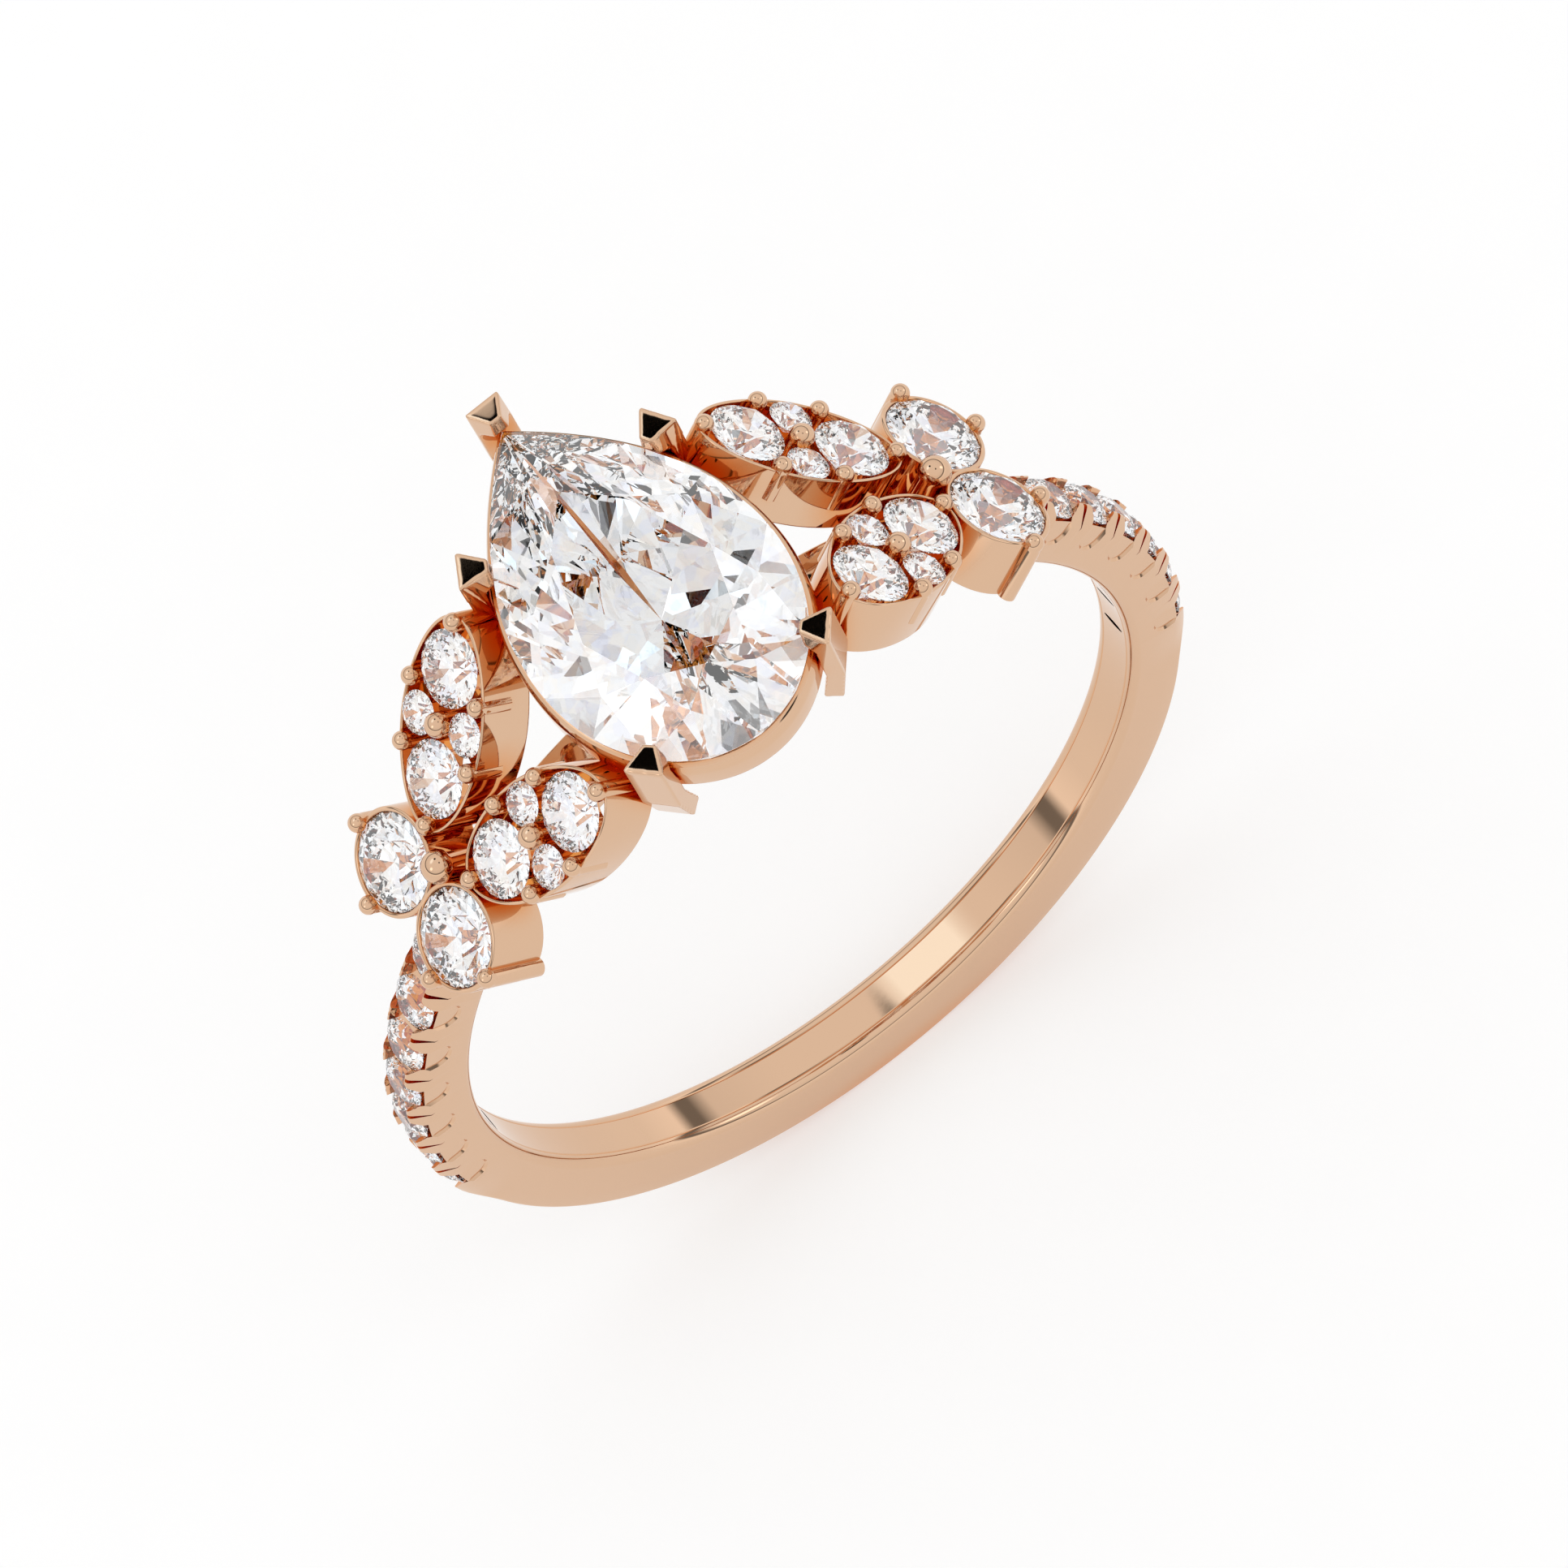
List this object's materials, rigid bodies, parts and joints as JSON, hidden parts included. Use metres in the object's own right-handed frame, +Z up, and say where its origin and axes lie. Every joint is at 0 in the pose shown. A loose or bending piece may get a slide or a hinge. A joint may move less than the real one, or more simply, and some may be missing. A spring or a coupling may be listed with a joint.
{
  "type": "engagement ring",
  "caption": "Rose gold ring with a claw-set pear stone, leaf-shaped clusters on the shoulders and pave along the shank.",
  "frame": {"origin": "middle of the small flat facet under the shank, on which the ring stands", "axes": "+Z up through the head, Y along the finger with +Y towards the pear's point, X across the two shoulders"},
  "size_m": [0.0194, 0.0093, 0.0226],
  "materials": {
    "rose_gold": "mirror-polished 14 ct rose gold",
    "diamond": "brilliant-cut colourless diamond"
  },
  "bodies": {
    "root": {"shank": "rose_gold", "gallery_rail": "rose_gold", "head_base": "rose_gold", "claw_point": "rose_gold", "claw_upper_left": "rose_gold", "claw_upper_right": "rose_gold", "claw_lower_left": "rose_gold", "claw_lower_right": "rose_gold", "shoulder_bridge_left": "rose_gold", "shoulder_bead_left": "rose_gold", "leaf_front_left": "rose_gold", "collet_front_left": "rose_gold", "leaf_back_left": "rose_gold", "collet_back_left": "rose_gold", "shoulder_bridge_right": "rose_gold", "shoulder_bead_right": "rose_gold", "leaf_front_right": "rose_gold", "collet_front_right": "rose_gold", "leaf_back_right": "rose_gold", "collet_back_right": "rose_gold", "centre_stone": "diamond", "collet_front_left_stone": "diamond", "leaf_front_left_large_inner": "diamond", "leaf_front_left_large_outer": "diamond", "leaf_front_left_small_front": "diamond", "leaf_front_left_small_back": "diamond", "collet_back_left_stone": "diamond", "leaf_back_left_large_inner": "diamond", "leaf_back_left_large_outer": "diamond", "leaf_back_left_small_front": "diamond", "leaf_back_left_small_back": "diamond", "pave_left_1": "diamond", "pave_left_2": "diamond", "pave_left_3": "diamond", "pave_left_4": "diamond", "pave_left_5": "diamond", "pave_left_6": "diamond", "pave_left_7": "diamond", "collet_front_right_stone": "diamond", "leaf_front_right_large_inner": "diamond", "leaf_front_right_large_outer": "diamond", "leaf_front_right_small_front": "diamond", "leaf_front_right_small_back": "diamond", "collet_back_right_stone": "diamond", "leaf_back_right_large_inner": "diamond", "leaf_back_right_large_outer": "diamond", "leaf_back_right_small_front": "diamond", "leaf_back_right_small_back": "diamond", "pave_right_1": "diamond", "pave_right_2": "diamond", "pave_right_3": "diamond", "pave_right_4": "diamond", "pave_right_5": "diamond", "pave_right_6": "diamond", "pave_right_7": "diamond"}
  },
  "joints": []
}
